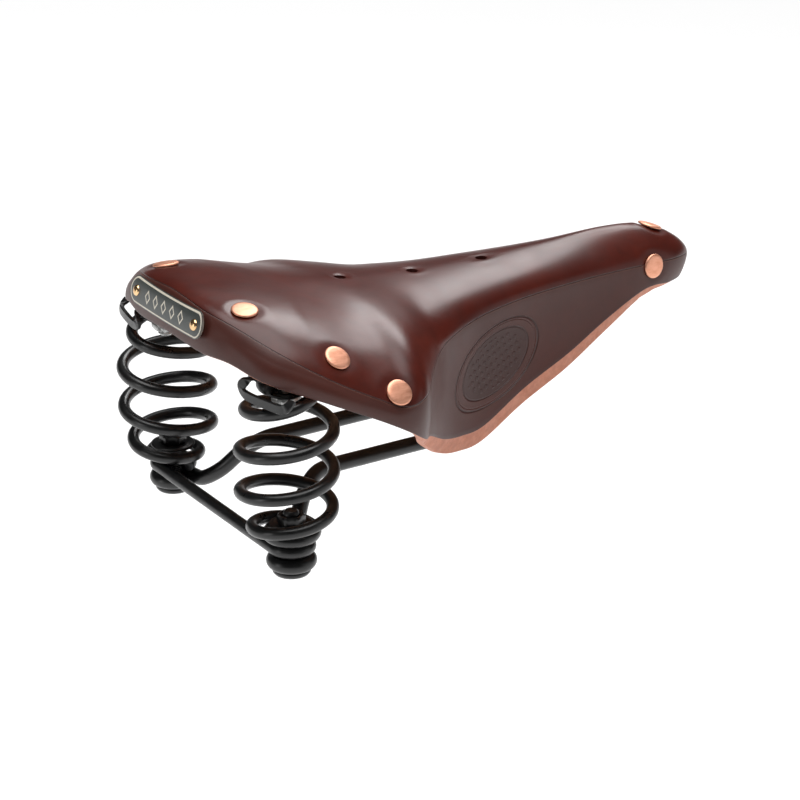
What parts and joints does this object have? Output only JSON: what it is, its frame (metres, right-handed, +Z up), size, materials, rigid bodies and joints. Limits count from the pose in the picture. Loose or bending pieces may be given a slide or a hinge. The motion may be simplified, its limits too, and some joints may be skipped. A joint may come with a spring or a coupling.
{
  "type": "sprung bicycle saddle",
  "caption": "Thick leather bicycle saddle riveted to a cantle plate and nose piece, on two clamp rails with upright coil springs, bag loops and a nose tension bolt.",
  "frame": {"origin": "middle of the straight stretch of both rails, where the seat post's clamp holds them, on the rails' centre lines and the saddle's centre plane", "axes": "+X to the nose, +Y to the rider's left, +Z up"},
  "size_m": [0.2817, 0.1692, 0.1195],
  "materials": {
    "leather": "smooth waxed thick leather, satin, reddish brown",
    "copper": "brushed copper rivets",
    "black_steel": "satin black painted steel",
    "zinc_steel": "zinc plated steel",
    "badge": "dark grey-green enamelled plate"
  },
  "bodies": {
    "rail_frame": {"crossbar": "black_steel", "left_lower_bolt": "black_steel", "left_lower_nut": "black_steel", "left_lower_washer": "black_steel", "left_rail": "black_steel", "left_spring": "black_steel", "rail_yoke": "black_steel", "right_lower_bolt": "black_steel", "right_lower_nut": "black_steel", "right_lower_washer": "black_steel", "right_rail": "black_steel", "right_spring": "black_steel"},
    "seat_top": {"badge_plate": "badge", "badge_rivet_left": "copper", "badge_rivet_right": "copper", "cantle_plate": "black_steel", "leather_top": "leather", "left_bag_loop": "black_steel", "left_upper_bolt": "zinc_steel", "left_upper_nut": "zinc_steel", "left_upper_washer": "black_steel", "nose_piece": "black_steel", "nose_rivet_left": "copper", "nose_rivet_right": "copper", "nose_rivet_top": "copper", "rear_rivet_left_1": "copper", "rear_rivet_left_2": "copper", "rear_rivet_left_3": "copper", "rear_rivet_right_1": "copper", "rear_rivet_right_2": "copper", "rear_rivet_right_3": "copper", "right_bag_loop": "black_steel", "right_upper_bolt": "zinc_steel", "right_upper_nut": "zinc_steel", "right_upper_washer": "black_steel"},
    "tension_bolt_body": {"tension_bolt": "zinc_steel"},
    "tension_nut_body": {"tension_nut": "zinc_steel"}
  },
  "joints": [
    {"name": "suspension", "type": "hinge", "parent": "rail_frame", "child": "seat_top", "pos_m": [0.1665, 0, 0.052], "axis": [0, -1, 0], "range_deg": [0, 3.2], "stiffness_Nm_per_rad": 2000, "deforming": ["left_spring", "right_spring"]},
    {"name": "tension_nut_turn", "type": "hinge", "parent": "rail_frame", "child": "tension_nut_body", "pos_m": [0.124, 0, 0.052], "axis": [1, 0, 0], "range_deg": [-1440, 0]},
    {"name": "tension_bolt_feed", "type": "slide", "parent": "rail_frame", "child": "tension_bolt_body", "axis": [1, 0, 0], "range_m": [-0.004, 0]}
  ],
  "couplings": [
    {"joint": "tension_nut_turn", "follows": "tension_bolt_feed", "rad_per_m": 6283.2}
  ]
}
